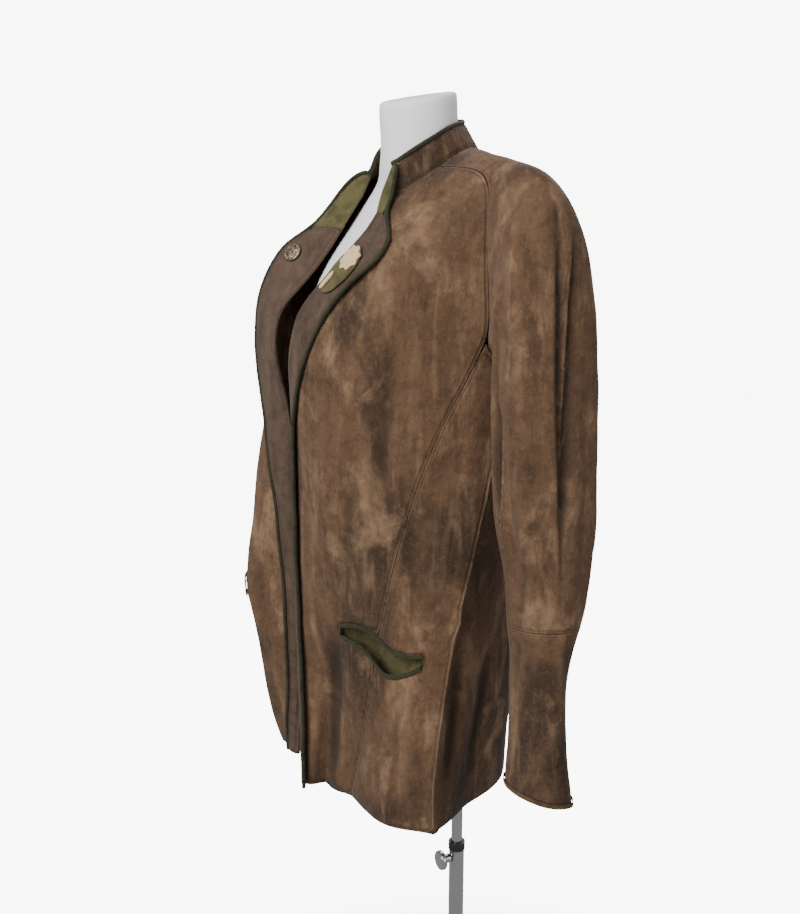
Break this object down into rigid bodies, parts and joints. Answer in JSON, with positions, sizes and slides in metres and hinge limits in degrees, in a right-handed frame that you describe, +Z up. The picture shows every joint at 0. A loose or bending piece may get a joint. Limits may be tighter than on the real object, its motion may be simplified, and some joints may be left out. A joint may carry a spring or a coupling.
{
  "type": "folk costume jacket on a dress form stand",
  "caption": "Long open suede jacket with stand collar, turned-back lapels, saddle-shoulder sleeves and curved welt pockets, on a limbless dress form with a telescopic pole and round base.",
  "frame": {"origin": "centre of the underside of the round base, on the pole's axis", "axes": "+Z up along the pole, the wearer faces -Y, +X is the wearer's left"},
  "size_m": [0.581, 0.4413, 1.497],
  "materials": {
    "suede": "mottled suede",
    "facing_suede": "suede",
    "olive_leather": "suede",
    "cream_leather": "suede",
    "button_metal": "antique",
    "form_skin": "smooth white",
    "chrome": "polished",
    "black_plastic": "satin"
  },
  "bodies": {
    "stand": {"base_plate": "chrome", "lower_tube": "chrome", "tube_ring": "black_plastic", "clamp_boss": "chrome"},
    "pole": {"upper_pole": "chrome"},
    "dressed_form": {"back": "suede", "collar": "suede", "left_front": "suede", "left_side_front": "suede", "left_sleeve": "suede", "left_forearm": "suede", "left_lapel": "facing_suede", "left_collar_facing": "olive_leather", "right_front": "suede", "right_side_front": "suede", "right_sleeve": "suede", "right_forearm": "suede", "right_lapel": "facing_suede", "right_collar_facing": "olive_leather", "left_piping": "olive_leather", "left_pocket_welt": "olive_leather", "left_pocket_lining": "olive_leather", "left_cuff_binding": "olive_leather", "right_piping": "olive_leather", "right_pocket_welt": "olive_leather", "right_pocket_lining": "olive_leather", "right_cuff_binding": "olive_leather", "lapel_button": "button_metal", "applique_patch": "olive_leather", "applique_blossom": "cream_leather", "applique_leaf": "cream_leather", "torso_form": "form_skin", "pole_socket": "black_plastic"},
    "knob": {"clamp_knob": "chrome"}
  },
  "joints": [
    {"name": "height_slide", "type": "slide", "parent": "stand", "child": "pole", "axis": [0, 0, 1], "range_m": [-0.17, 0.2]},
    {"name": "form_swivel", "type": "hinge", "parent": "pole", "child": "dressed_form", "pos_m": [0, 0, 0.69], "axis": [0, 0, 1], "continuous": true},
    {"name": "clamp_turn", "type": "hinge", "parent": "stand", "child": "knob", "pos_m": [0, -0.0114, 0.449], "axis": [0, -1, 0], "continuous": true}
  ]
}
